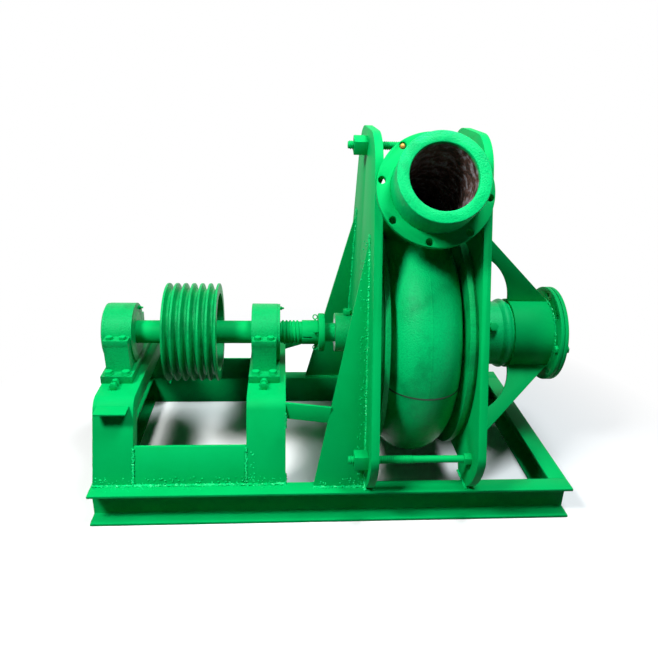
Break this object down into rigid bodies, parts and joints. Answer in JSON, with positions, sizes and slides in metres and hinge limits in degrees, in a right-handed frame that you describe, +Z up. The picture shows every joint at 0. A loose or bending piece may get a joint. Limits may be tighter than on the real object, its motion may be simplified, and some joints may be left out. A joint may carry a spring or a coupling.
{
  "type": "belt-driven slurry pump",
  "caption": "Green belt-driven horizontal slurry pump on a channel frame, with two bearing pedestals, a grooved pulley and a tilted discharge.",
  "frame": {"origin": "middle of the whole pump's box, on the ground under the frame", "axes": "+X along the shaft from the pulley end to the suction, +Y away from the side the discharge leans to, +Z up"},
  "size_m": [1.385, 0.8554, 1.0578],
  "materials": {
    "painted_steel": "gloss",
    "painted_casting": "gloss, rough cast",
    "bearing_steel": "satin",
    "impeller_iron": "matte",
    "packing": "matte",
    "gasket_rubber": "matte"
  },
  "bodies": {
    "frame": {"front_rail": "painted_steel", "rear_rail": "painted_steel", "left_end_rail": "painted_steel", "right_end_rail": "painted_steel", "left_pedestal": "painted_steel", "right_pedestal": "painted_steel", "pedestal_tab": "painted_steel", "front_skirt": "painted_steel", "rear_skirt": "painted_steel", "front_brace": "painted_steel", "rear_brace": "painted_steel", "drive_side_plate": "painted_steel", "suction_side_plate": "painted_steel", "front_gusset": "painted_steel", "rear_gusset": "painted_steel", "tie_rods": "painted_steel", "tie_nuts": "painted_steel", "volute_upper": "painted_casting", "volute_outlet": "painted_casting", "volute_lower": "painted_casting", "drive_side_liner": "painted_casting", "suction_side_liner": "painted_casting", "discharge_neck": "painted_casting", "discharge_flange": "painted_steel", "suction_pipe": "painted_casting", "suction_sleeve": "painted_steel", "suction_flange": "painted_steel", "companion_flange": "painted_steel", "suction_gasket": "gasket_rubber", "flange_bolts": "painted_steel", "suction_gussets": "painted_steel", "plug_bolts": "painted_steel", "stuffing_box": "painted_casting", "packing_rings": "packing", "gland_follower": "bearing_steel", "left_bearing_base": "painted_casting", "left_bearing_cap": "painted_casting", "right_bearing_base": "painted_casting", "right_bearing_cap": "painted_casting", "cap_bolts": "painted_steel", "foot_bolts": "painted_steel", "left_end_covers": "painted_casting", "right_end_covers": "painted_casting", "bearing_outer_rings": "bearing_steel", "grease_nipples": "painted_steel", "jack_nuts": "painted_steel"},
    "rotor": {"drive_shaft": "painted_steel", "v_pulley": "painted_casting", "pulley_key": "bearing_steel", "threaded_sleeve": "painted_steel", "lock_sleeve": "painted_steel", "shaft_collar": "painted_steel", "lock_pins": "bearing_steel", "impeller": "impeller_iron", "impeller_nut": "bearing_steel", "bearing_inner_rings": "bearing_steel"},
    "roller_sets": {"bearing_rollers": "bearing_steel"},
    "left_jack": {"left_jack_screw": "painted_steel"},
    "right_jack": {"right_jack_screw": "painted_steel"}
  },
  "joints": [
    {"name": "shaft_turn", "type": "hinge", "parent": "frame", "child": "rotor", "pos_m": [0, 0, 0.425], "axis": [1, 0, 0], "continuous": true},
    {"name": "roller_orbit", "type": "hinge", "parent": "frame", "child": "roller_sets", "pos_m": [0, 0, 0.425], "axis": [1, 0, 0], "continuous": true},
    {"name": "left_jack_travel", "type": "slide", "parent": "frame", "child": "left_jack", "axis": [0, -1, 0], "range_m": [0, 0.012]},
    {"name": "right_jack_travel", "type": "slide", "parent": "frame", "child": "right_jack", "axis": [0, -1, 0], "range_m": [0, 0.012]}
  ],
  "couplings": [
    {"joint": "roller_orbit", "follows": "shaft_turn", "ratio": 0.43}
  ]
}
